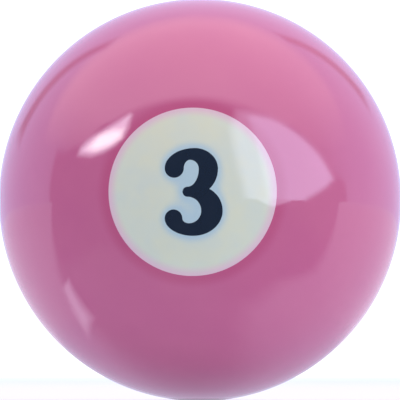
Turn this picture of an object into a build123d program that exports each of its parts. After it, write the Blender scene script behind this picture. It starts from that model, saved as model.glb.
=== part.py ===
from build123d import *
from math import sqrt
import os

os.makedirs("parts", exist_ok=True)

# A cast phenolic pool ball, numbered 3 on two opposite sides.
#
# The origin is the ball's centre, +Z is up through the numerals' heads, and the front
# number faces -Y. All sizes are in millimetres.
#
# Each number is cast in place: a dark numeral in an ivory disc, and the disc in the
# coloured ball. Their faces are bonded together, so there is no clearance between them.

# Driving dimensions: the ball and its number discs
ball_diameter = 57.15  # regulation pool ball, two and a quarter inches
disc_diameter = 22.86  # ivory disc, across its rim on the ball: two fifths of the ball
disc_wall = 3.7  # straight side of the disc, below its rim
disc_floor_radius = 1.0  # rounding between the disc's side and its flat floor
numeral_depth = 2.5  # from the crown of the ball to the bottom of the numeral
numeral_shift = (0.25, -0.1)  # the numeral's middle from the disc's, right and up

# Driving dimensions: the numeral, with its origin at the middle of its height
numeral_height = 11.9
terminal_reach = 3.95  # left edge of the round balls that end the stroke
upper_bowl_reach = 3.27  # right edge of the upper bowl
lower_bowl_reach = 3.9  # right edge of the lower bowl
upper_bowl_drop = 2.85  # from the numeral's top down to the upper bowl's widest point
lower_bowl_rise = 3.4  # from the numeral's foot up to the lower bowl's widest point
upper_bowl_axis = 0.1  # where the upper bowl reaches the numeral's top
lower_bowl_axis = -0.1  # where the lower bowl reaches the numeral's foot
waist_reach = 2.12  # the notch between the bowls
waist_level = 0.38
top_stroke = 1.62  # thickness of the stroke over the top
upper_stroke = 2.6  # and at the right of the upper bowl
lower_stroke = 2.9  # and at the right of the lower bowl
foot_stroke = 1.7  # and along the foot
upper_terminal_radius = 1.3  # the ball at the upper left
upper_terminal_drop = 2.75  # its centre, from the numeral's top
lower_terminal_radius = 1.2  # the ball at the lower left
lower_terminal_rise = 2.37  # its centre, from the numeral's foot
upper_counter_axis = -0.5  # where the space inside the upper bowl is highest
lower_counter_axis = -0.65  # where the space inside the lower bowl is lowest
bar_radius = 0.68  # round tip of the bar between the bowls, half as thick as the bar
bar_tip = -0.85  # centre of that tip

# Values that follow from them
ball_radius = ball_diameter / 2
disc_radius = disc_diameter / 2
rim_level = sqrt(ball_radius**2 - disc_radius**2)  # the disc's rim, from the centre
disc_floor_level = rim_level - disc_wall
numeral_floor_level = ball_radius - numeral_depth
spot_planes = {"front": Plane.front, "back": Plane.back}
numeral_top = numeral_height / 2
upper_bowl_level = numeral_top - upper_bowl_drop
lower_bowl_level = lower_bowl_rise - numeral_top
upper_terminal_axis = upper_terminal_radius - terminal_reach
lower_terminal_axis = lower_terminal_radius - terminal_reach
upper_terminal_level = numeral_top - upper_terminal_drop
lower_terminal_level = lower_terminal_rise - numeral_top
upper_counter_right = upper_bowl_reach - upper_stroke
lower_counter_right = lower_bowl_reach - lower_stroke
upper_counter_left = upper_terminal_axis + upper_terminal_radius
lower_counter_left = lower_terminal_axis + lower_terminal_radius

# The numeral 3 is drawn as quarter ellipses between the places where its edge runs level
# or upright, so every join is smooth except the notch at the waist.
with BuildSketch() as numeral_outline:
    with BuildLine():
        # Outside of the upper bowl, from the upper terminal over the top to the waist
        EllipticalCenterArc(
            (upper_bowl_axis, upper_terminal_level),
            upper_bowl_axis + terminal_reach,
            upper_terminal_drop,
            start_angle=90,
            arc_size=90,
        )
        EllipticalCenterArc(
            (upper_bowl_axis, upper_bowl_level),
            upper_bowl_reach - upper_bowl_axis,
            upper_bowl_drop,
            start_angle=0,
            arc_size=90,
        )
        TangentArc(
            (upper_bowl_reach, upper_bowl_level),
            (waist_reach, waist_level),
            tangent=(0, -1),
        )
        # Outside of the lower bowl, from the waist round the foot to the lower terminal
        TangentArc(
            (lower_bowl_reach, lower_bowl_level),
            (waist_reach, waist_level),
            tangent=(0, 1),
        )
        EllipticalCenterArc(
            (lower_bowl_axis, lower_bowl_level),
            lower_bowl_reach - lower_bowl_axis,
            lower_bowl_rise,
            start_angle=270,
            arc_size=90,
        )
        EllipticalCenterArc(
            (lower_bowl_axis, lower_terminal_level),
            lower_bowl_axis + terminal_reach,
            lower_terminal_rise,
            start_angle=180,
            arc_size=90,
        )
        # Lower terminal, over its top, and the inside of the lower bowl
        CenterArc(
            (lower_terminal_axis, lower_terminal_level),
            lower_terminal_radius,
            start_angle=0,
            arc_size=180,
        )
        EllipticalCenterArc(
            (lower_counter_axis, lower_terminal_level),
            lower_counter_axis - lower_counter_left,
            lower_terminal_rise - foot_stroke,
            start_angle=180,
            arc_size=90,
        )
        EllipticalCenterArc(
            (lower_counter_axis, lower_bowl_level),
            lower_counter_right - lower_counter_axis,
            lower_bowl_rise - foot_stroke,
            start_angle=270,
            arc_size=90,
        )
        EllipticalCenterArc(
            (bar_tip, lower_bowl_level),
            lower_counter_right - bar_tip,
            -bar_radius - lower_bowl_level,
            start_angle=0,
            arc_size=90,
        )
        # Round tip of the middle bar
        CenterArc((bar_tip, 0), bar_radius, start_angle=90, arc_size=180)
        # Inside of the upper bowl, and the upper terminal, round its bottom
        EllipticalCenterArc(
            (bar_tip, upper_bowl_level),
            upper_counter_right - bar_tip,
            upper_bowl_level - bar_radius,
            start_angle=270,
            arc_size=90,
        )
        EllipticalCenterArc(
            (upper_counter_axis, upper_bowl_level),
            upper_counter_right - upper_counter_axis,
            upper_bowl_drop - top_stroke,
            start_angle=0,
            arc_size=90,
        )
        EllipticalCenterArc(
            (upper_counter_axis, upper_terminal_level),
            upper_counter_axis - upper_counter_left,
            upper_terminal_drop - top_stroke,
            start_angle=90,
            arc_size=90,
        )
        CenterArc(
            (upper_terminal_axis, upper_terminal_level),
            upper_terminal_radius,
            start_angle=180,
            arc_size=180,
        )
    make_face()


def disc_form(spot_plane):
    """The round form of a number disc, before its face is rounded off with the ball."""
    with BuildPart() as form:
        with BuildSketch(spot_plane.offset(disc_floor_level)):
            Circle(disc_radius)
        extrude(amount=ball_radius - disc_floor_level)
        floor_edge = form.edges().filter_by(GeomType.CIRCLE).sort_by_distance((0, 0, 0))[0]
        fillet(floor_edge, min(disc_floor_radius, disc_wall / 2))
    return form.part


def numeral_form(spot_plane):
    """The numeral as a straight-sided block, before its face is rounded off."""
    with BuildPart() as form:
        with BuildSketch(spot_plane.offset(numeral_floor_level)):
            with Locations(numeral_shift):
                add(numeral_outline.sketch)
        extrude(amount=numeral_depth)
    return form.part


# The coloured ball, with a round recess on each side for a number disc
with BuildPart() as ball_body:
    Sphere(ball_radius)
    for spot_plane in spot_planes.values():
        add(disc_form(spot_plane), mode=Mode.SUBTRACT)
ball_body.part.label = "ball_body"
export_step(ball_body.part, "parts/ball_body.step")

for side, spot_plane in spot_planes.items():
    # An ivory number disc, flush with the ball, with a pocket in the numeral's shape
    with BuildPart() as number_disc:
        add(disc_form(spot_plane))
        Sphere(ball_radius, mode=Mode.INTERSECT)
        add(numeral_form(spot_plane), mode=Mode.SUBTRACT)
    number_disc.part.label = f"{side}_number_disc"
    export_step(number_disc.part, f"parts/{side}_number_disc.step")

    # The dark numeral that fills the pocket, flush with the disc
    with BuildPart() as numeral:
        add(numeral_form(spot_plane))
        Sphere(ball_radius, mode=Mode.INTERSECT)
    numeral.part.label = f"{side}_numeral"
    export_step(numeral.part, f"parts/{side}_numeral.step")
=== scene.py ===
"""The looks of a numbered pool ball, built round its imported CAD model.

The ball is cast phenolic resin: a rose body, an ivory number disc let into each of two
opposite sides, and a navy numeral cast into each disc, all turned and polished to one
sphere. Meshes are modelled in millimetres and brought to metres when they are finished.
The origin is the ball's centre, +Z is up and the front number faces -Y.
"""

import logging
import math
from dataclasses import dataclass
from enum import Enum
from typing import Optional, Sequence, Union

import bmesh
import bpy
from mathutils import Matrix, Vector
from mathutils.kdtree import KDTree


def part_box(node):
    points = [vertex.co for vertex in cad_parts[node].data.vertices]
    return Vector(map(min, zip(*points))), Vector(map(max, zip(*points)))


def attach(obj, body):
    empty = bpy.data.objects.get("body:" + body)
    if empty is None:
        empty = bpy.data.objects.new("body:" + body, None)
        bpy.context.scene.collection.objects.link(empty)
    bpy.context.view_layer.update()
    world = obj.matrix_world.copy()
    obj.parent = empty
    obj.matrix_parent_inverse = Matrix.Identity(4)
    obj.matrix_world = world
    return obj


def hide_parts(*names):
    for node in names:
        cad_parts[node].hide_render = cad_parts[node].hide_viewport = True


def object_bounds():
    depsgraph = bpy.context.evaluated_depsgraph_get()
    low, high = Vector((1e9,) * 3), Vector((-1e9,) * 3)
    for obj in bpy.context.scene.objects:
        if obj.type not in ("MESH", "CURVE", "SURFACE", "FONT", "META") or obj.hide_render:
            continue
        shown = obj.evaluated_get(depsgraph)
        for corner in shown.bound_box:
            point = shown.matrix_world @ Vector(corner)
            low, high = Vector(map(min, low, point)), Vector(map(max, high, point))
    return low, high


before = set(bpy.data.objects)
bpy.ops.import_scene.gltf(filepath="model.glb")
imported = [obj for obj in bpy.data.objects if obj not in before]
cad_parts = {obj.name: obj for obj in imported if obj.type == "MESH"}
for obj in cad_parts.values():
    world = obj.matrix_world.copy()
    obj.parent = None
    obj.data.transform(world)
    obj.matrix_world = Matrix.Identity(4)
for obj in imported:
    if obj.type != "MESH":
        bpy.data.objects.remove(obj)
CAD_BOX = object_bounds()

log = logging.getLogger("pool_ball")

MM = 0.001
OUTWARD = Vector((0.0, -1.0, 0.0))  # the way the front number faces
INK_HAZE = "ink_haze"  # attribute: how much of the numeral's edge is near a point
GLOW = "glow"  # attribute: a light panel's share of its full glow at a point

MERGE = 1e-4  # points nearer than this are one, in mm
MERGE_CUTS = 1e-3  # the same for points that cuts and arcs' ends leave, in mm
SIZE_SLACK = 0.1  # how far the numeral's outline may be from its CAD node's box, in mm
ROUNDING_STEPS = 6  # edges along the rounding between a disc's side and its floor
NUMERAL_LIMIT = 0.8  # the numeral's edge stays within this share of the disc's radius
PANEL_GAP = 0.2 * MM  # how far a panel that lies flat is above its level, in metres
MIXED_COLOUR = 2  # number of the Mix node's output that holds a colour


# ---------------------------------------------------------------- colours and nodes


def linear(hex_colour: str) -> tuple[float, float, float, float]:
    """Turns an sRGB colour into the linear one that shaders work in.

    Args:
        hex_colour: The colour as six hex digits, such as "b35287".

    Returns:
        Linear red, green and blue, and an alpha of 1.
    """
    channels = [int(hex_colour[i : i + 2], 16) / 255 for i in (0, 2, 4)]
    red, green, blue = (
        c / 12.92 if c <= 0.04045 else ((c + 0.055) / 1.055) ** 2.4 for c in channels
    )
    return red, green, blue, 1.0


def add_node(
    tree: bpy.types.NodeTree,
    kind: str,
    inputs: Optional[dict] = None,
    links: Optional[dict] = None,
    **settings: object,
) -> bpy.types.Node:
    """Adds a node with its settings, socket values and links.

    Args:
        tree: The node tree that it joins.
        kind: The node's type, such as "ShaderNodeMath".
        inputs: Values for its input sockets, by name or number.
        links: Output sockets to join to its inputs, by name or number.
        **settings: The node's own properties, such as operation="MULTIPLY".

    Returns:
        The new node.
    """
    node = tree.nodes.new(kind)
    for name, value in settings.items():
        setattr(node, name, value)
    for key, value in (inputs or {}).items():
        node.inputs[key].default_value = value
    for key, socket in (links or {}).items():
        tree.links.new(socket, node.inputs[key])
    return node


# ---------------------------------------------------------------- bmesh helpers


def only(elements: Sequence, kind: type) -> list:
    """Picks the vertices, edges or faces out of what an operator returned.

    Args:
        elements: Mixed mesh elements.
        kind: bmesh.types.BMVert, BMEdge or BMFace.

    Returns:
        The elements of that kind.
    """
    return [element for element in elements if isinstance(element, kind)]


def boundary(mesh: bmesh.types.BMesh) -> list[bmesh.types.BMEdge]:
    """The edges that have a face on one side only."""
    return [edge for edge in mesh.edges if edge.is_boundary]


def slice_in_squares(mesh: bmesh.types.BMesh, reach: float, pitch: float) -> None:
    """Cuts a flat face into small squares, so that it can be rounded to the ball.

    Args:
        mesh: The mesh, flat in the XZ plane.
        reach: How far the cuts go either way from the middle, in mm.
        pitch: Distance between the cuts, in mm.
    """
    cuts = int(reach / pitch)
    for axis in (Vector((1.0, 0.0, 0.0)), Vector((0.0, 0.0, 1.0))):
        for step in range(-cuts, cuts + 1):
            bmesh.ops.bisect_plane(
                mesh,
                geom=mesh.verts[:] + mesh.edges[:] + mesh.faces[:],
                dist=1e-5,
                plane_co=axis * (step * pitch),
                plane_no=axis,
            )
    bmesh.ops.remove_doubles(mesh, verts=mesh.verts[:], dist=MERGE_CUTS)


def lift_to_sphere(verts: Sequence[bmesh.types.BMVert], radius: float) -> None:
    """Moves flat points straight out to the ball's surface.

    Args:
        verts: Points to move.
        radius: The ball's radius, in mm.
    """
    for vert in verts:
        vert.co.y = -math.sqrt(radius**2 - vert.co.x**2 - vert.co.z**2)


def drop_walls(
    mesh: bmesh.types.BMesh, rim: Sequence[bmesh.types.BMEdge], level: float
) -> list[bmesh.types.BMEdge]:
    """Extrudes straight walls from a rim to a flat level inside the ball.

    Args:
        mesh: The mesh that has the rim.
        rim: The edges that the walls hang from.
        level: How far the walls' feet are from the ball's centre, in mm.

    Returns:
        The edges along the walls' feet.
    """
    made = bmesh.ops.extrude_edge_only(mesh, edges=rim)["geom"]
    feet = set(only(made, bmesh.types.BMVert))
    for vert in feet:
        vert.co.y = -level
    return [e for e in only(made, bmesh.types.BMEdge) if set(e.verts) <= feet]


# ---------------------------------------------------------------- the numeral's outline


@dataclass(frozen=True)
class Arc:
    """A piece of an ellipse in the XZ plane, in mm. Angles run from +X towards +Z."""

    centre: tuple[float, float]
    reach: tuple[float, float]
    start: float
    sweep: float

    def add_to(self, mesh: bmesh.types.BMesh, pitch: float) -> None:
        """Draws the arc as a chain of edges: a point spun round, then stretched.

        Args:
            mesh: The mesh that the edges join.
            pitch: Longest edge, in mm.
        """
        angle = math.radians(self.start)
        vert = mesh.verts.new((math.cos(angle), 0.0, math.sin(angle)))
        steps = max(3, math.ceil(math.radians(abs(self.sweep)) * max(self.reach) / pitch))
        bmesh.ops.spin(
            mesh,
            geom=[vert],
            cent=(0.0, 0.0, 0.0),
            axis=OUTWARD,
            angle=math.radians(self.sweep),
            steps=steps,
        )
        mesh.verts.ensure_lookup_table()
        chain = mesh.verts[len(mesh.verts) - steps - 1 :]
        bmesh.ops.scale(mesh, vec=(self.reach[0], 1.0, self.reach[1]), verts=chain)
        bmesh.ops.translate(mesh, vec=(self.centre[0], 0.0, self.centre[1]), verts=chain)


@dataclass(frozen=True)
class NumeralOutline:
    """The figure 3 with ball ends, in mm from the middle of its height, as in the CAD."""

    height: float = 11.9
    terminal_reach: float = 3.95
    upper_bowl_reach: float = 3.27
    lower_bowl_reach: float = 3.9
    upper_bowl_drop: float = 2.85
    lower_bowl_rise: float = 3.4
    upper_bowl_axis: float = 0.1
    lower_bowl_axis: float = -0.1
    waist: tuple[float, float] = (2.12, 0.38)
    top_stroke: float = 1.62
    upper_stroke: float = 2.6
    lower_stroke: float = 2.9
    foot_stroke: float = 1.7
    upper_terminal_radius: float = 1.3
    upper_terminal_drop: float = 2.75
    lower_terminal_radius: float = 1.2
    lower_terminal_rise: float = 2.37
    upper_counter_axis: float = -0.5
    lower_counter_axis: float = -0.65
    bar_radius: float = 0.68
    bar_tip: float = -0.85
    pitch: float = 0.2

    def to_waist(self, reach: float, level: float) -> Arc:
        """The round side of a bowl, from its widest point to the notch at the waist.

        Args:
            reach: The bowl's right edge.
            level: The height of that edge.

        Returns:
            The arc, which starts upright at the bowl's right edge.
        """
        along, up = self.waist[0] - reach, self.waist[1] - level
        radius = (along**2 + up**2) / (-2 * along)
        turn = math.degrees(math.atan2(up, along + radius))
        return Arc((reach - radius, level), (radius, radius), 0.0, turn)

    def arcs(self) -> list[Arc]:
        """The whole outline, as arcs that meet end to end.

        Returns:
            The arcs, from the upper terminal over the top and back to it.
        """
        top, foot = self.height / 2, -self.height / 2
        upper, lower = top - self.upper_bowl_drop, foot + self.lower_bowl_rise
        ball_high = (
            self.upper_terminal_radius - self.terminal_reach,
            top - self.upper_terminal_drop,
        )
        ball_low = (
            self.lower_terminal_radius - self.terminal_reach,
            foot + self.lower_terminal_rise,
        )
        high_right = self.upper_bowl_reach - self.upper_stroke
        low_right = self.lower_bowl_reach - self.lower_stroke
        high_left = ball_high[0] + self.upper_terminal_radius
        low_left = ball_low[0] + self.lower_terminal_radius
        return [
            Arc(
                (self.upper_bowl_axis, ball_high[1]),
                (self.upper_bowl_axis + self.terminal_reach, self.upper_terminal_drop),
                90,
                90,
            ),
            Arc(
                (self.upper_bowl_axis, upper),
                (self.upper_bowl_reach - self.upper_bowl_axis, self.upper_bowl_drop),
                0,
                90,
            ),
            self.to_waist(self.upper_bowl_reach, upper),
            self.to_waist(self.lower_bowl_reach, lower),
            Arc(
                (self.lower_bowl_axis, lower),
                (self.lower_bowl_reach - self.lower_bowl_axis, self.lower_bowl_rise),
                270,
                90,
            ),
            Arc(
                (self.lower_bowl_axis, ball_low[1]),
                (self.lower_bowl_axis + self.terminal_reach, self.lower_terminal_rise),
                180,
                90,
            ),
            Arc(ball_low, (self.lower_terminal_radius,) * 2, 0, 180),
            Arc(
                (self.lower_counter_axis, ball_low[1]),
                (self.lower_counter_axis - low_left, self.lower_terminal_rise - self.foot_stroke),
                180,
                90,
            ),
            Arc(
                (self.lower_counter_axis, lower),
                (low_right - self.lower_counter_axis, self.lower_bowl_rise - self.foot_stroke),
                270,
                90,
            ),
            Arc((self.bar_tip, lower), (low_right - self.bar_tip, -self.bar_radius - lower), 0, 90),
            Arc((self.bar_tip, 0.0), (self.bar_radius,) * 2, 90, 180),
            Arc((self.bar_tip, upper), (high_right - self.bar_tip, upper - self.bar_radius), 270, 90),
            Arc(
                (self.upper_counter_axis, upper),
                (high_right - self.upper_counter_axis, self.upper_bowl_drop - self.top_stroke),
                0,
                90,
            ),
            Arc(
                (self.upper_counter_axis, ball_high[1]),
                (self.upper_counter_axis - high_left, self.upper_terminal_drop - self.top_stroke),
                90,
                90,
            ),
            Arc(ball_high, (self.upper_terminal_radius,) * 2, 180, 180),
        ]

    def add_to(
        self, mesh: bmesh.types.BMesh, middle: Vector
    ) -> list[bmesh.types.BMEdge]:
        """Draws the outline as one closed chain of edges.

        Args:
            mesh: The mesh that the edges join.
            middle: Where the middle of the numeral's height goes.

        Returns:
            The outline's edges.
        """
        before = set(mesh.verts)
        for arc in self.arcs():
            arc.add_to(mesh, self.pitch)
        new = [vert for vert in mesh.verts if vert not in before]
        bmesh.ops.translate(mesh, vec=middle, verts=new)
        bmesh.ops.remove_doubles(mesh, verts=new, dist=MERGE_CUTS)
        return [edge for edge in mesh.edges if edge.is_wire and edge.verts[0] not in before]


# ---------------------------------------------------------------- sizes from the frame


class Side(Enum):
    """The two ends of the axis that the numbers lie on."""

    FRONT = "front"
    BACK = "back"

    @property
    def turn(self) -> Matrix:
        """How the front's pieces turn about the upright axis to stand on this side."""
        return Matrix.Rotation(0.0 if self is Side.FRONT else math.pi, 3, "Z")


@dataclass(frozen=True)
class BallSizes:
    """Sizes that the pieces share, in mm, read from the CAD nodes' boxes."""

    ball_radius: float
    disc_radius: float
    disc_floor: float
    numeral_floor: float
    numeral_middle: Vector
    outline: NumeralOutline
    disc_floor_radius: float = 1.0  # the CAD's value, which a box can't show

    @classmethod
    def from_frame(cls, outline: NumeralOutline) -> "BallSizes":
        """Measures the CAD nodes.

        Args:
            outline: The numeral's own sizes, which its node's box must agree with.

        Returns:
            The sizes.
        """
        ball_low, ball_high = (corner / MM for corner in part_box("ball_body"))
        disc_low, disc_high = (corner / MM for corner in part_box("front_number_disc"))
        ink_low, ink_high = (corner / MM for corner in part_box("front_numeral"))
        ink_size = ink_high - ink_low
        too_wide = ink_size.x - outline.terminal_reach - outline.lower_bowl_reach
        too_high = ink_size.z - outline.height
        if max(abs(too_wide), abs(too_high)) > SIZE_SLACK:
            raise ValueError("the numeral's outline isn't the size of its CAD node")
        return cls(
            ball_radius=(ball_high.z - ball_low.z) / 2,
            disc_radius=(disc_high.z - disc_low.z) / 2,
            disc_floor=-disc_high.y,
            numeral_floor=-ink_high.y,
            numeral_middle=Vector(
                (ink_low.x + outline.terminal_reach, 0.0, (ink_low.z + ink_high.z) / 2)
            ),
            outline=outline,
        )

    @property
    def rim_level(self) -> float:
        """How far the disc's rim is from the ball's centre, along the number axis."""
        return math.sqrt(self.ball_radius**2 - self.disc_radius**2)


# ---------------------------------------------------------------- finishes


@dataclass(frozen=True)
class Clouding:
    """Soft colour clouds in cast resin, from pigment that was stirred in by hand."""

    size: float  # mm across one cloud
    amount: float  # how far the colour goes towards the other one
    colour: str
    seed: float = 0.0
    limits: tuple[float, float] = (0.35, 0.7)  # the noise where a cloud starts and is full


@dataclass(frozen=True)
class SeamTint:
    """Colour that one resin took from the next across their round seam."""

    colour: str
    clear: float  # distance from the number axis where the tint starts, in mm
    full: float  # and where it is strongest
    amount: float


@dataclass(frozen=True)
class InkBleed:
    """The blue haze that a dark numeral leaves in the pale resin beside it."""

    colour: str
    clear: float  # the ink haze at which the resin is still clean
    full: float  # and the one at which the colour is strongest
    amount: float


@dataclass(frozen=True)
class PolishedResin:
    """Cast phenolic resin, turned and buffed: a hard, wet-looking gloss over solid colour."""

    name: str
    colour: str
    clouds: Sequence[Clouding]
    seam: Optional[SeamTint] = None
    bleed: Optional[InkBleed] = None
    ior: float = 1.6
    roughness: float = 0.05
    haze: float = 0.05  # how much rougher the handled patches are
    patch_size: float = 14.0  # mm across one of those patches
    patch_limits: tuple[float, float] = (0.4, 0.75)  # the noise where one starts and is full
    ripple_size: float = 5.0  # mm from crest to crest of the buffing ripple
    ripple_height: float = 0.02  # mm
    ripple_share: float = 0.35  # how much of that height bends the reflections

    def mix(
        self,
        tree: bpy.types.NodeTree,
        colour: Union[str, bpy.types.NodeSocket],
        other: str,
        share: bpy.types.NodeSocket,
    ) -> bpy.types.NodeSocket:
        """Mixes another colour into the base colour.

        Args:
            tree: The material's nodes.
            colour: The base colour so far: hex digits, or what the last mix gave.
            other: The colour to mix in.
            share: How much of it, from 0 to 1.

        Returns:
            The new base colour.
        """
        inputs = {"B": linear(other)}
        links = {"Factor": share}
        if isinstance(colour, str):
            inputs["A"] = linear(colour)
        else:
            links["A"] = colour
        mixed = add_node(tree, "ShaderNodeMix", inputs, links, data_type="RGBA")
        return mixed.outputs[MIXED_COLOUR]

    def ramp(
        self,
        tree: bpy.types.NodeTree,
        value: bpy.types.NodeSocket,
        start: float,
        end: float,
        amount: float,
    ) -> bpy.types.NodeSocket:
        """Turns a value into a share that rises smoothly from 0.

        Args:
            tree: The material's nodes.
            value: The value to turn.
            start: Where the share is 0.
            end: Where the share is full.
            amount: The full share.

        Returns:
            The share.
        """
        limits = {"From Min": start, "From Max": end, "To Max": amount}
        return add_node(
            tree,
            "ShaderNodeMapRange",
            limits,
            {"Value": value},
            interpolation_type="SMOOTHSTEP",
        ).outputs["Result"]

    def colour_nodes(
        self, tree: bpy.types.NodeTree, place: bpy.types.NodeSocket
    ) -> bpy.types.NodeSocket:
        """Adds the base colour: pigment clouds, the tint at the seam and the ink's haze.

        Args:
            tree: The material's nodes.
            place: Object coordinates.

        Returns:
            The colour.
        """
        colour = self.colour
        for cloud in self.clouds:
            noise = add_node(
                tree,
                "ShaderNodeTexNoise",
                {"Scale": 1 / (cloud.size * MM), "Detail": 3.0, "W": cloud.seed},
                {"Vector": place},
                noise_dimensions="4D",
            )
            share = self.ramp(tree, noise.outputs["Fac"], *cloud.limits, cloud.amount)
            colour = self.mix(tree, colour, cloud.colour, share)
        if self.seam:
            flat = add_node(
                tree,
                "ShaderNodeVectorMath",
                {1: (1 / MM, 0.0, 1 / MM)},
                {0: place},
                operation="MULTIPLY",
            )
            off_axis = add_node(
                tree, "ShaderNodeVectorMath", links={0: flat.outputs[0]}, operation="LENGTH"
            )
            share = self.ramp(
                tree, off_axis.outputs["Value"], self.seam.clear, self.seam.full, self.seam.amount
            )
            colour = self.mix(tree, colour, self.seam.colour, share)
        if self.bleed:
            haze = add_node(tree, "ShaderNodeAttribute", attribute_name=INK_HAZE)
            share = self.ramp(
                tree, haze.outputs["Fac"], self.bleed.clear, self.bleed.full, self.bleed.amount
            )
            colour = self.mix(tree, colour, self.bleed.colour, share)
        return colour

    def build(self) -> bpy.types.Material:
        """Makes the material: colour, a slightly uneven polish and a faint ripple.

        Returns:
            The material.
        """
        material = bpy.data.materials.new(self.name)
        material.use_nodes = True
        tree = material.node_tree
        shader = tree.nodes["Principled BSDF"]
        shader.inputs["IOR"].default_value = self.ior
        place = add_node(tree, "ShaderNodeTexCoord").outputs["Object"]
        tree.links.new(self.colour_nodes(tree, place), shader.inputs["Base Color"])
        # Hands and cloth dull the polish in patches, with finer rubs in them, so the
        # reflections' edges are softer in some places than in others.
        smear = add_node(
            tree,
            "ShaderNodeTexNoise",
            {"Scale": 1 / (self.patch_size * MM), "Detail": 6.0, "Roughness": 0.6},
            {"Vector": place},
        )
        rough = add_node(
            tree,
            "ShaderNodeMapRange",
            {
                "From Min": self.patch_limits[0],
                "From Max": self.patch_limits[1],
                "To Min": self.roughness,
                "To Max": self.roughness + self.haze,
            },
            {"Value": smear.outputs["Fac"]},
        )
        tree.links.new(rough.outputs["Result"], shader.inputs["Roughness"])
        # Buffing leaves a ripple, at most a few microns deep. It bends the edges of the
        # reflections very slightly.
        ripple = add_node(
            tree,
            "ShaderNodeTexNoise",
            {"Scale": 1 / (self.ripple_size * MM), "Detail": 1.0},
            {"Vector": place},
        )
        bump = add_node(
            tree,
            "ShaderNodeBump",
            {"Strength": self.ripple_share, "Distance": self.ripple_height * MM},
            {"Height": ripple.outputs["Fac"]},
        )
        tree.links.new(bump.outputs["Normal"], shader.inputs["Normal"])
        return material


# ---------------------------------------------------------------- the ball's pieces


@dataclass
class Piece:
    """One visual piece of the ball, which stands for one CAD node."""

    sizes: BallSizes
    finish: PolishedResin
    node: str
    slot: str

    @property
    def name(self) -> str:
        """The piece's own name, beside its CAD node's."""
        return f"{self.node}_polished"

    def mesh(self) -> bmesh.types.BMesh:
        """Models the piece. Each kind of piece has its own.

        Returns:
            The mesh, in mm.
        """
        raise NotImplementedError

    def build(self, material: bpy.types.Material) -> bpy.types.Object:
        """Finishes the mesh, dresses it and hangs it on the frame.

        Args:
            material: The piece's finish.

        Returns:
            The piece.
        """
        mesh = self.mesh()
        bmesh.ops.recalc_face_normals(mesh, faces=mesh.faces[:])
        bmesh.ops.scale(mesh, vec=(MM,) * 3, verts=mesh.verts[:])
        open_edges = sum(1 for edge in mesh.edges if not edge.is_manifold)
        data = bpy.data.meshes.new(self.name)
        mesh.to_mesh(data)
        mesh.free()
        self.round_normals(data)
        data.materials.append(material)
        piece = bpy.data.objects.new(self.name, data)
        bpy.context.scene.collection.objects.link(piece)
        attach(piece, "root")
        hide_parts(self.node)
        log.info("%s: %d faces, %d open edges", self.name, len(data.polygons), open_edges)
        return piece

    def round_normals(self, data: bpy.types.Mesh) -> None:
        """Points the surface's normals straight out from the ball's centre.

        The gloss then runs on over the seams between pieces.

        Args:
            data: The finished mesh, in metres.
        """
        radius = self.sizes.ball_radius * MM
        on_ball = [abs(vert.co.length - radius) < 1e-6 for vert in data.vertices]
        normals = [Vector((0.0, 0.0, 0.0))] * len(data.loops)
        for face in data.polygons:
            face.use_smooth = True
            if all(on_ball[index] for index in face.vertices):
                for corner in face.loop_indices:
                    normals[corner] = data.vertices[data.loops[corner].vertex_index].co.normalized()
        for edge in data.edges:
            edge.use_edge_sharp = False
        data.normals_split_custom_set([tuple(normal) for normal in normals])


@dataclass
class BallBody(Piece):
    """The rose ball, with a round recess on each side for a number disc."""

    steps: int = 256
    arc_steps: int = 48

    def mesh(self) -> bmesh.types.BMesh:
        """Spins half of the ball's outline round the number axis, from recess to recess.

        Returns:
            The mesh, in mm.
        """
        sizes = self.sizes
        mesh = bmesh.new()
        edge_radius = sizes.disc_floor_radius
        middle = mesh.verts.new((0.0, -sizes.disc_floor, 0.0))
        corner = mesh.verts.new((sizes.disc_radius - edge_radius, -sizes.disc_floor, 0.0))
        mesh.edges.new((middle, corner))
        rounding = bmesh.ops.spin(
            mesh,
            geom=[corner],
            cent=(sizes.disc_radius - edge_radius, -sizes.disc_floor - edge_radius, 0.0),
            axis=(0.0, 0.0, 1.0),
            angle=-math.pi / 2,
            steps=ROUNDING_STEPS,
        )["geom_last"]
        foot = only(rounding, bmesh.types.BMVert)[0]
        rim = mesh.verts.new((sizes.disc_radius, -sizes.rim_level, 0.0))
        mesh.edges.new((foot, rim))
        bmesh.ops.spin(
            mesh,
            geom=[rim],
            cent=(0.0, 0.0, 0.0),
            axis=(0.0, 0.0, 1.0),
            angle=math.pi / 2 - math.asin(sizes.disc_radius / sizes.ball_radius),
            steps=self.arc_steps,
        )
        half = mesh.verts[:] + mesh.edges[:]
        bmesh.ops.mirror(mesh, geom=half, matrix=Matrix.Identity(4), merge_dist=MERGE, axis="Y")
        bmesh.ops.remove_doubles(mesh, verts=mesh.verts[:], dist=MERGE)
        bmesh.ops.spin(
            mesh,
            geom=mesh.verts[:] + mesh.edges[:],
            cent=(0.0, 0.0, 0.0),
            axis=OUTWARD,
            angle=math.tau,
            steps=self.steps,
            use_merge=True,
        )
        bmesh.ops.remove_doubles(mesh, verts=mesh.verts[:], dist=MERGE)
        return mesh


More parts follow.
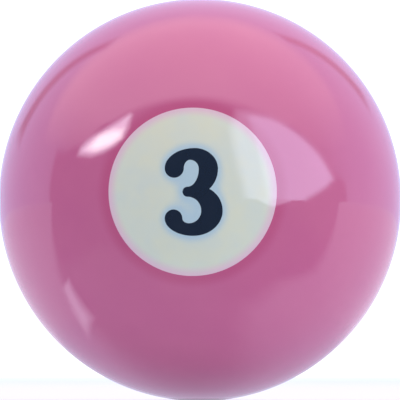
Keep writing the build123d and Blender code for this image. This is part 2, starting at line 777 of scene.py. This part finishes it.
@dataclass
class NumberDisc(Piece):
    """An ivory disc, flush with the ball, with a pocket in the numeral's shape."""

    side: Side = Side.FRONT
    steps: int = 256
    pitch: float = 0.6

    def mesh(self) -> bmesh.types.BMesh:
        """Fills the face between rim and numeral, rounds it to the ball and drops its walls.

        Returns:
            The mesh, in mm.
        """
        sizes = self.sizes
        mesh = bmesh.new()
        bmesh.ops.create_circle(mesh, segments=self.steps, radius=sizes.disc_radius)
        bmesh.ops.rotate(mesh, verts=mesh.verts[:], matrix=Matrix.Rotation(math.pi / 2, 3, "X"))
        sizes.outline.add_to(mesh, sizes.numeral_middle)
        bmesh.ops.triangle_fill(mesh, edges=mesh.edges[:], use_beauty=True, normal=OUTWARD)
        slice_in_squares(mesh, sizes.disc_radius, self.pitch)
        self.add_ink_haze(mesh)
        limit = sizes.disc_radius * NUMERAL_LIMIT
        outer = [e for e in boundary(mesh) if e.verts[0].co.length > limit]
        inner = [e for e in boundary(mesh) if e.verts[0].co.length <= limit]
        lift_to_sphere(mesh.verts, sizes.ball_radius)
        pocket = drop_walls(mesh, inner, sizes.numeral_floor)
        bmesh.ops.triangle_fill(mesh, edges=pocket, use_beauty=True, normal=OUTWARD)
        self.close_under(mesh, outer)
        bmesh.ops.rotate(mesh, verts=mesh.verts[:], matrix=self.side.turn)
        return mesh

    def add_ink_haze(self, mesh: bmesh.types.BMesh, spread: float = 0.8) -> None:
        """Records how much of the numeral's edge lies near each point of the disc.

        The haze is then strongest in the spaces that the numeral wraps round.

        Args:
            mesh: The disc's mesh, in mm, still flat.
            spread: Distance over which the edge's effect falls to about a third, in mm.
        """
        pen = bmesh.new()
        edges = self.sizes.outline.add_to(pen, self.sizes.numeral_middle)
        tree = KDTree(len(edges))
        lengths = [edge.calc_length() for edge in edges]
        for number, edge in enumerate(edges):
            tree.insert((edge.verts[0].co + edge.verts[1].co) / 2, number)
        tree.balance()
        pen.free()
        layer = mesh.verts.layers.float.new(INK_HAZE)
        for vert in mesh.verts:
            near = tree.find_range(vert.co, 5 * spread)
            vert[layer] = sum(lengths[number] * math.exp(-gap / spread) for _, number, gap in near)

    def close_under(self, mesh: bmesh.types.BMesh, rim: Sequence[bmesh.types.BMEdge]) -> None:
        """Adds the disc's side, the rounding below it and its flat floor.

        Args:
            mesh: The disc's mesh.
            rim: The edges of its rim.
        """
        sizes = self.sizes
        rounding = sizes.disc_floor_radius
        edge = drop_walls(mesh, rim, sizes.disc_floor + rounding)
        for ring in range(1, ROUNDING_STEPS + 1):
            angle = math.pi / 2 * ring / ROUNDING_STEPS
            before = math.pi / 2 * (ring - 1) / ROUNDING_STEPS
            now = sizes.disc_radius - rounding * (1 - math.cos(angle))
            last = sizes.disc_radius - rounding * (1 - math.cos(before))
            edge = drop_walls(mesh, edge, sizes.disc_floor + rounding * (1 - math.sin(angle)))
            ring_verts = list({vert for e in edge for vert in e.verts})
            bmesh.ops.scale(mesh, vec=(now / last, 1.0, now / last), verts=ring_verts)
        bmesh.ops.edgeloop_fill(mesh, edges=edge)


@dataclass
class Numeral(Piece):
    """The dark figure 3 that fills the disc's pocket, flush with it."""

    side: Side = Side.FRONT
    pitch: float = 0.6

    def mesh(self) -> bmesh.types.BMesh:
        """Fills the outline, rounds it to the ball and drops its walls to a flat floor.

        Returns:
            The mesh, in mm.
        """
        sizes = self.sizes
        mesh = bmesh.new()
        sizes.outline.add_to(mesh, sizes.numeral_middle)
        bmesh.ops.triangle_fill(mesh, edges=mesh.edges[:], use_beauty=True, normal=OUTWARD)
        slice_in_squares(mesh, sizes.disc_radius, self.pitch)
        rim = boundary(mesh)
        lift_to_sphere(mesh.verts, sizes.ball_radius)
        feet = drop_walls(mesh, rim, sizes.numeral_floor)
        bmesh.ops.triangle_fill(mesh, edges=feet, use_beauty=True, normal=OUTWARD)
        bmesh.ops.rotate(mesh, verts=mesh.verts[:], matrix=self.side.turn)
        return mesh


# ---------------------------------------------------------------- the studio


def toward(azimuth: float, elevation: float) -> Vector:
    """The direction from the ball's centre to a place in the room.

    Args:
        azimuth: Degrees round from the front, positive towards +X.
        elevation: Degrees above level.

    Returns:
        A unit vector.
    """
    a, e = math.radians(azimuth), math.radians(elevation)
    return Vector((math.sin(a) * math.cos(e), -math.cos(a) * math.cos(e), math.sin(e)))


def seen_ahead(
    facing: tuple[float, float], distance: float, corners: Sequence[tuple[float, float]]
) -> tuple[Vector, ...]:
    """Places a flat panel's corners by where they are seen from the ball's centre.

    Args:
        facing: Azimuth and elevation of the line square to the panel, in degrees.
        distance: How far off the panel's plane is, in metres.
        corners: Azimuth and elevation of each corner.

    Returns:
        The corners, in metres.
    """
    axis = toward(*facing)
    rays = [toward(*corner) for corner in corners]
    return tuple(ray * (distance / ray.dot(axis)) for ray in rays)


def lying_flat(level: float, corners: Sequence[tuple[float, float]]) -> tuple[Vector, ...]:
    """Places the corners of a panel that lies flat, just above a level.

    Args:
        level: The level's height, in metres: the floor's or a little more.
        corners: X and Y of each corner from under the ball's centre, in mm.

    Returns:
        The corners, in metres.
    """
    return tuple(Vector((x * MM, y * MM, level + PANEL_GAP)) for x, y in corners)


class PanelKind(Enum):
    """What a panel does for the ball."""

    LIGHT = "light"  # lights the ball and is reflected in it
    REFLECTED = "reflected"  # a card that only shows as a reflection
    FILL = "fill"  # lights the ball without a reflection


@dataclass(frozen=True)
class LightPanel:
    """A flat panel of soft light, or a plain card, hidden from the camera."""

    name: str
    corners: Sequence[Vector]
    radiance: float
    tint: str = "ffffff"
    soft_edge: float = 0.0  # metres over which the glow fades at the edge
    fade: tuple[float, ...] = ()  # the same for a level box: at its -X, +X, -Y and +Y edges
    kind: PanelKind = PanelKind.LIGHT

    def build(self) -> bpy.types.Object:
        """Makes the panel.

        Returns:
            The panel's object.
        """
        mesh = bmesh.new()
        glow = mesh.verts.layers.float.new(GLOW)
        face = mesh.faces.new([mesh.verts.new(corner) for corner in self.corners])
        if self.soft_edge:
            mesh.normal_update()
            bmesh.ops.inset_region(
                mesh,
                faces=[face],
                thickness=self.soft_edge,
                use_even_offset=True,
                use_boundary=True,
            )
        for vert in mesh.verts:
            vert[glow] = 0.0 if self.soft_edge and vert.is_boundary else 1.0
        if self.fade:
            self.fade_edges(mesh, glow)
        bmesh.ops.triangulate(mesh, faces=mesh.faces[:])
        data = bpy.data.meshes.new(self.name)
        mesh.to_mesh(data)
        mesh.free()
        data.materials.append(self.material())
        panel = bpy.data.objects.new(self.name, data)
        bpy.context.scene.collection.objects.link(panel)
        panel.visible_camera = False
        panel.visible_shadow = False
        panel.visible_diffuse = self.kind is not PanelKind.REFLECTED
        panel.visible_glossy = self.kind is not PanelKind.FILL
        return panel

    def fade_edges(self, mesh: bmesh.types.BMesh, glow: bmesh.types.BMLayerItem) -> None:
        """Cuts a level box where its glow starts to fade, and dims it from there outwards.

        Args:
            mesh: The box's one face.
            glow: The layer that holds each point's share of the full glow.
        """
        low = Vector(map(min, *self.corners))
        high = Vector(map(max, *self.corners))
        edges = (
            (Vector((1, 0, 0)), low),
            (Vector((-1, 0, 0)), high),
            (Vector((0, 1, 0)), low),
            (Vector((0, -1, 0)), high),
        )
        for (inward, corner), width in zip(edges, self.fade):
            bmesh.ops.bisect_plane(
                mesh,
                geom=mesh.verts[:] + mesh.edges[:] + mesh.faces[:],
                dist=1e-6,
                plane_co=corner + inward * width,
                plane_no=inward,
            )
        for vert in mesh.verts:
            vert[glow] = math.prod(
                min(1.0, (vert.co - corner).dot(inward) / width)
                for (inward, corner), width in zip(edges, self.fade)
            )

    def material(self) -> bpy.types.Material:
        """The panel's glow, which fades at a soft edge.

        Returns:
            The material.
        """
        material = bpy.data.materials.new(f"{self.name}_diffuser")
        material.use_nodes = True
        tree = material.node_tree
        tree.nodes.remove(tree.nodes["Principled BSDF"])
        glow = add_node(tree, "ShaderNodeAttribute", attribute_name=GLOW).outputs["Fac"]
        clear = add_node(tree, "ShaderNodeBsdfTransparent").outputs[0]
        light = add_node(
            tree, "ShaderNodeEmission", {"Color": linear(self.tint), "Strength": self.radiance}
        ).outputs[0]
        faded = add_node(tree, "ShaderNodeMixShader", links={0: glow, 1: clear, 2: light})
        tree.links.new(faded.outputs[0], tree.nodes["Material Output"].inputs["Surface"])
        return material


@dataclass(frozen=True)
class Studio:
    """A pale floor, a bright room and soft panels round the ball."""

    floor_level: float
    panels: Sequence[LightPanel]
    floor_reach: float = 2.5  # metres from under the ball to the floor's edges
    floor_colour: str = "babcc0"
    glow_colour: str = "dfebff"
    glow_start: float = 0.3  # metres from the ball where the floor starts to brighten
    glow_strength: tuple[float, float] = (0.52, 0.86)  # near the ball and at the edges
    room_front: str = "949190"
    room_back: str = "cdd5fb"
    room_turn: tuple[float, float] = (-0.35, 0.2)  # Y of the ways where the colour turns
    room_strength: float = 1.35

    def build(self) -> None:
        """Makes the floor, the room and the panels."""
        self.build_floor()
        self.build_room()
        for panel in self.panels:
            panel.build()
            log.info("panel %s", panel.name)

    def build_floor(self) -> None:
        """A wide, pale, matt floor, lit up a little so that it runs on into the white room."""
        mesh = bmesh.new()
        bmesh.ops.create_grid(mesh, x_segments=1, y_segments=1, size=self.floor_reach)
        bmesh.ops.translate(mesh, vec=(0.0, 0.0, self.floor_level), verts=mesh.verts[:])
        data = bpy.data.meshes.new("studio_floor")
        mesh.to_mesh(data)
        mesh.free()
        material = bpy.data.materials.new("painted_board")
        material.use_nodes = True
        tree = material.node_tree
        shader = tree.nodes["Principled BSDF"]
        shader.inputs["Base Color"].default_value = linear(self.floor_colour)
        shader.inputs["Roughness"].default_value = 0.9
        shader.inputs["Specular IOR Level"].default_value = 0.0
        shader.inputs["Emission Color"].default_value = linear(self.glow_colour)
        # The floor is brighter far off, where it would otherwise show as a line against the
        # white room.
        place = add_node(tree, "ShaderNodeTexCoord").outputs["Object"]
        reach = add_node(tree, "ShaderNodeVectorMath", links={0: place}, operation="LENGTH")
        strength = add_node(
            tree,
            "ShaderNodeMapRange",
            {
                "From Min": self.glow_start,
                "From Max": self.floor_reach,
                "To Min": self.glow_strength[0],
                "To Max": self.glow_strength[1],
            },
            {"Value": reach.outputs["Value"]},
            interpolation_type="SMOOTHSTEP",
        )
        tree.links.new(strength.outputs["Result"], shader.inputs["Emission Strength"])
        data.materials.append(material)
        floor = bpy.data.objects.new("studio_floor", data)
        bpy.context.scene.collection.objects.link(floor)

    def build_room(self) -> None:
        """The room's own light: dim in front of the ball, bright behind, white to the camera."""
        world = bpy.data.worlds.new("studio_room")
        world.use_nodes = True
        tree = world.node_tree
        way = add_node(tree, "ShaderNodeTexCoord")
        split = add_node(tree, "ShaderNodeSeparateXYZ", links={0: way.outputs["Generated"]})
        share = add_node(
            tree,
            "ShaderNodeMapRange",
            {"From Min": self.room_turn[0], "From Max": self.room_turn[1]},
            {"Value": split.outputs["Y"]},
            interpolation_type="SMOOTHSTEP",
        )
        room = add_node(
            tree,
            "ShaderNodeMix",
            {"A": linear(self.room_front), "B": linear(self.room_back)},
            {"Factor": share.outputs["Result"]},
            data_type="RGBA",
        )
        seen = add_node(tree, "ShaderNodeLightPath")
        shown = add_node(
            tree,
            "ShaderNodeMix",
            {"B": linear("ffffff")},
            {"Factor": seen.outputs["Is Camera Ray"], "A": room.outputs[MIXED_COLOUR]},
            data_type="RGBA",
        )
        tree.links.new(shown.outputs[MIXED_COLOUR], tree.nodes["Background"].inputs["Color"])
        tree.nodes["Background"].inputs["Strength"].default_value = self.room_strength
        bpy.context.scene.world = world


@dataclass(frozen=True)
class Viewpoint:
    """Where the camera stands, round the ball's centre."""

    azimuth: float = 2.2  # degrees
    elevation: float = -2.45  # degrees
    distance: float = 0.5715  # metres
    lens: float = 361.7  # mm
    sensor: float = 36.0  # mm

    def build(self) -> bpy.types.Object:
        """Makes the camera, aimed at the ball's centre.

        Returns:
            The camera.
        """
        data = bpy.data.cameras.new("camera")
        data.sensor_width = self.sensor
        data.lens = self.lens
        camera = bpy.data.objects.new("camera", data)
        bpy.context.scene.collection.objects.link(camera)
        back = toward(self.azimuth, self.elevation)
        camera.location = back * self.distance
        camera.rotation_mode = "QUATERNION"
        camera.rotation_quaternion = (-back).to_track_quat("-Z", "Y")
        bpy.context.scene.camera = camera
        return camera


def studio_panels(level: float) -> tuple[LightPanel, ...]:
    """The panels and cards round the ball.

    Their outlines are chosen for the shape of their reflections in the ball, so most of
    them are cards that only show as reflections.

    Args:
        level: The floor's height, in metres.

    Returns:
        The panels.
    """
    cards = PanelKind.REFLECTED
    return (
        LightPanel(
            name="overhead",
            corners=tuple(
                Vector((x, y, 1.0)) for x, y in ((-2.7, -0.74), (2.6, -0.74), (2.6, 0.8), (-2.7, 0.8))
            ),
            radiance=1.9,
            tint="ffe2ee",
            fade=(1.6, 2.4, 0.15, 0.3),
        ),
        LightPanel(
            name="fill_right",
            corners=seen_ahead((60, 20), 1.5, ((30, 60), (90, 50), (100, 0), (35, -1))),
            radiance=1.5,
            tint="fff0f4",
            kind=PanelKind.FILL,
        ),
        LightPanel(
            name="window_left",
            corners=seen_ahead(
                (-58, 31),
                1.0,
                (
                    (-75, 18), (-64, 18), (-56, 20.5), (-49, 24.5), (-44.5, 30), (-43.5, 36),
                    (-45.5, 43.5), (-50, 44.5), (-57, 38.5), (-64, 33), (-70, 29), (-75, 23.5),
                ),
            ),
            radiance=8.0,
            tint="f2ecff",
            soft_edge=0.07,
            kind=cards,
        ),
        LightPanel(
            name="window_left_core",
            corners=seen_ahead(
                (-58, 29),
                0.98,
                ((-71, 21.5), (-62, 20.5), (-53, 24), (-46, 29), (-47, 36), (-56, 35), (-65, 30.5)),
            ),
            radiance=14.0,
            soft_edge=0.065,
            kind=cards,
        ),
        LightPanel(
            name="window_right",
            corners=seen_ahead(
                (50, 20),
                1.0,
                (
                    (28, 50), (37, 49), (54, 44), (68, 34), (78, 23), (87, 8), (78, 3), (66, -2),
                    (60, -9), (27, -9), (23.5, 5), (21.5, 14), (19.5, 25), (19, 38),
                ),
            ),
            radiance=2.9,
            tint="dfe1ff",
            soft_edge=0.12,
            kind=cards,
        ),
        LightPanel(
            name="window_right_bright",
            corners=seen_ahead(
                (50, 20),
                0.98,
                (
                    (34, 44), (40, 45), (54, 41), (67, 31), (77, 20), (84, 8), (77, 4), (66, -1),
                    (60, -5), (39, -5), (37, 8), (35, 25),
                ),
            ),
            radiance=4.9,
            tint="d6dcff",
            soft_edge=0.06,
            kind=cards,
        ),
        LightPanel(
            name="window_right_low",
            corners=lying_flat(
                level + MM,
                (
                    (170, -190), (336, -280), (661, -460), (2100, -1200), (1300, -2050),
                    (470, -700), (225, -300),
                ),
            ),
            radiance=3.6,
            tint="dfe1ff",
            soft_edge=0.025,
            kind=cards,
        ),
        LightPanel(
            name="floor_strip",
            corners=lying_flat(level + 2 * MM, ((-44, -17.5), (-22, -16.5), (-20, -8.5), (-41, -9.5))),
            radiance=2.6,
            tint="eceaff",
            soft_edge=0.0033,
            kind=cards,
        ),
        LightPanel(
            name="floor_near",
            corners=lying_flat(
                level + MM, ((12, -8), (16, -30), (8, -56), (-60, -56), (-60, -8))
            ),
            radiance=0.4,
            soft_edge=0.014,
            kind=cards,
        ),
        LightPanel(
            name="floor_under",
            corners=lying_flat(level + 0.2 * MM, ((-34, -14), (34, -14), (34, 60), (-34, 60))),
            radiance=1.0,
            tint="e4e4ff",
            soft_edge=0.008,
            kind=cards,
        ),
        LightPanel(
            name="dark_card",
            corners=lying_flat(
                level,
                (
                    (8, -9), (14, -24), (27, -27), (45, -20), (900, -55),
                    (2500, -55), (2500, -2500), (-2500, -2500), (-2500, -9),
                ),
            ),
            radiance=0.15,
            soft_edge=0.007,
            kind=cards,
        ),
        LightPanel(
            name="dark_left",
            corners=seen_ahead(
                (-45, 0),
                1.3,
                (
                    (-93, -9), (12, -9), (12, 57), (-15, 57), (-32, 55), (-47, 52), (-60, 43),
                    (-73, 27), (-85, 21), (-93, 21),
                ),
            ),
            radiance=0.15,
            soft_edge=0.12,
            kind=cards,
        ),
        LightPanel(
            name="dark_right",
            corners=seen_ahead(
                (45, 0),
                1.31,
                (
                    (-12, -9), (96, -9), (93, 8), (86, 12), (77, 24), (68, 35), (54, 46), (36, 55),
                    (20, 57), (-12, 57),
                ),
            ),
            radiance=0.15,
            soft_edge=0.1,
            kind=cards,
        ),
        LightPanel(
            name="post_left",
            corners=seen_ahead((-138, 30), 1.2, ((-146, 12), (-132, 12), (-132, 50), (-146, 50))),
            radiance=0.35,
            soft_edge=0.1,
            kind=cards,
        ),
        LightPanel(
            name="post_right",
            corners=seen_ahead((148, 30), 1.2, ((142, 18), (155, 18), (155, 50), (142, 50))),
            radiance=0.4,
            soft_edge=0.09,
            kind=cards,
        ),
    )


def main() -> None:
    """Builds the studio, then the ball's pieces, and reports each."""
    logging.basicConfig(level=logging.INFO, format="%(name)s: %(message)s")
    bpy.context.scene.view_settings.view_transform = "Standard"
    sizes = BallSizes.from_frame(NumeralOutline())
    floor_level = CAD_BOX[0].z
    Studio(floor_level, studio_panels(floor_level)).build()
    Viewpoint().build()

    rose = PolishedResin(
        "rose_phenolic_polished",
        "c06a92",
        (Clouding(9.0, 0.35, "bb6090"), Clouding(22.0, 0.3, "c9769a", seed=4.0)),
        seam=SeamTint("b5507c", 13.4, 11.7, 0.6),
    )
    ivory = PolishedResin(
        "ivory_phenolic_polished",
        "d1e1ce",
        (Clouding(3.2, 0.45, "d8e2c3"), Clouding(5.0, 0.4, "c3dad6", seed=7.0)),
        seam=SeamTint("dcc0d1", 10.0, 11.5, 0.9),
        bleed=InkBleed("afd0d8", 0.55, 1.8, 1.0),
    )
    navy = PolishedResin(
        "navy_phenolic_polished",
        "0f2135",
        (Clouding(2.5, 0.4, "18273a"),),
    )
    rose_material, ivory_material, navy_material = (f.build() for f in (rose, ivory, navy))
    BallBody(sizes, rose, "ball_body", "rose_resin").build(rose_material)
    for side in Side:
        NumberDisc(
            sizes, ivory, f"{side.value}_number_disc", "ivory_resin", side=side
        ).build(ivory_material)
        Numeral(sizes, navy, f"{side.value}_numeral", "navy_resin", side=side).build(navy_material)

    bpy.context.view_layer.update()


if __name__ == "__main__":
    main()
